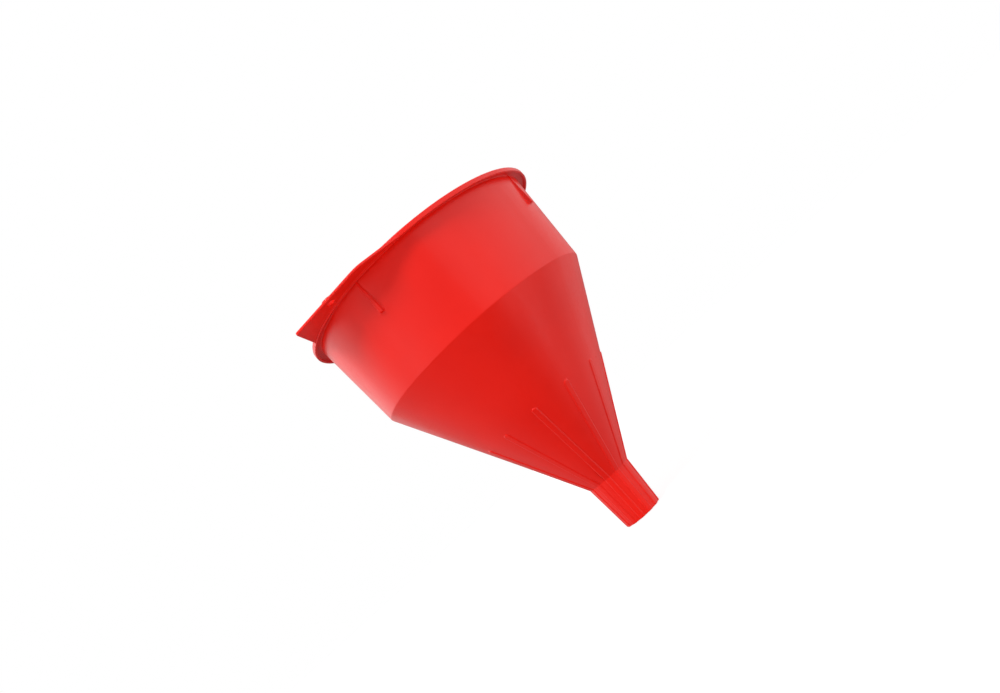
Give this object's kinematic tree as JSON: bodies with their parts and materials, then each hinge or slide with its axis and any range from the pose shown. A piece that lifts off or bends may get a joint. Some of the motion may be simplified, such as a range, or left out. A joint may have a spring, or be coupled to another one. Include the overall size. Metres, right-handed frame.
{
  "type": "funnel",
  "caption": "Moulded plastic funnel with a drafted bowl, a steep cone, a ribbed spout, a hang tab under the rim and a lift-out gauze strainer.",
  "frame": {"origin": "centre of the spout's end face, on the funnel's axis", "axes": "+Z along the axis towards the mouth, +X square to the hang tab's straight outer edge, mouth up as when pouring"},
  "size_m": [0.1804, 0.17, 0.2],
  "materials": {
    "red_polyethylene": "satin moulded polyethylene, red",
    "black_nylon": "satin moulded nylon, black",
    "brass_gauze": "plain-woven brass wire"
  },
  "bodies": {
    "funnel": {"funnel_body": "red_polyethylene"},
    "strainer": {"strainer_frame": "black_nylon", "strainer_gauze": "brass_gauze", "retaining_ring": "black_nylon", "pull_knob": "red_polyethylene"}
  },
  "joints": [
    {"name": "strainer_lift", "type": "slide", "parent": "funnel", "child": "strainer", "axis": [0, 0, 1], "range_m": [0, 0.155]}
  ]
}
